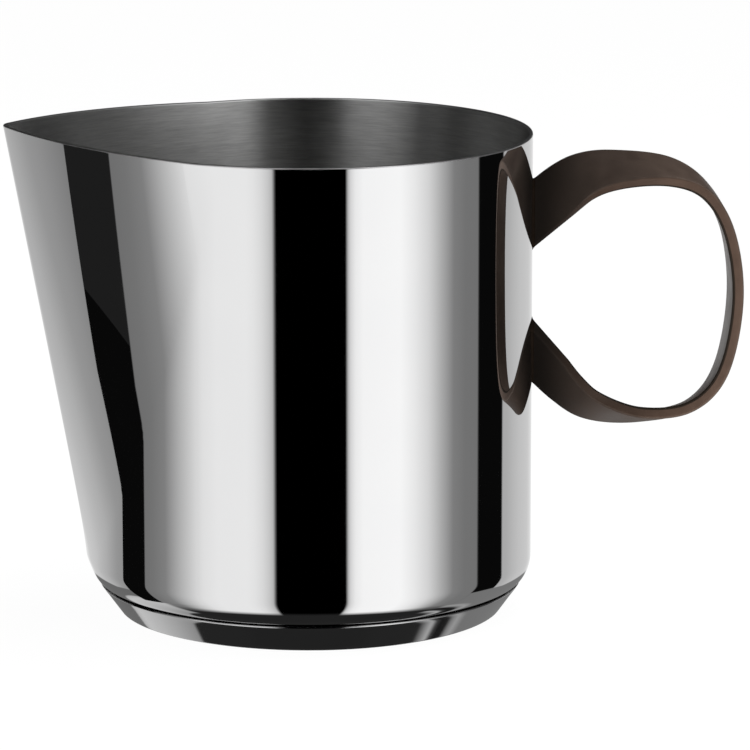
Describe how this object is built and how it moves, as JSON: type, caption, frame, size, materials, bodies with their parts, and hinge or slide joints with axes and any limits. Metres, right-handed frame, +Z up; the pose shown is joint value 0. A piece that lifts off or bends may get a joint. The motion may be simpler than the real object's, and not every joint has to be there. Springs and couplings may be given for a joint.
{
  "type": "candle melting pot",
  "caption": "Small straight-sided steel melting pot with a V-shaped pouring spout, a thick capsule base and a twisted flat strap handle.",
  "frame": {"origin": "centre of the base's underside, on the axis of the round body", "axes": "+Z up, +X towards the handle, spout at -X"},
  "size_m": [0.1739, 0.105, 0.1155],
  "materials": {
    "polished_steel": "mirror polished outside, satin brushed inside",
    "base_steel": "polished",
    "core_aluminium": "plain",
    "brown_coated_steel": "dark brown satin coating",
    "weld_steel": "plain"
  },
  "bodies": {
    "root": {"vessel_body": "polished_steel", "base_cap": "base_steel", "core_disc": "core_aluminium", "handle_strap": "brown_coated_steel", "upper_handle_weld": "weld_steel", "lower_handle_weld": "weld_steel"}
  },
  "joints": []
}
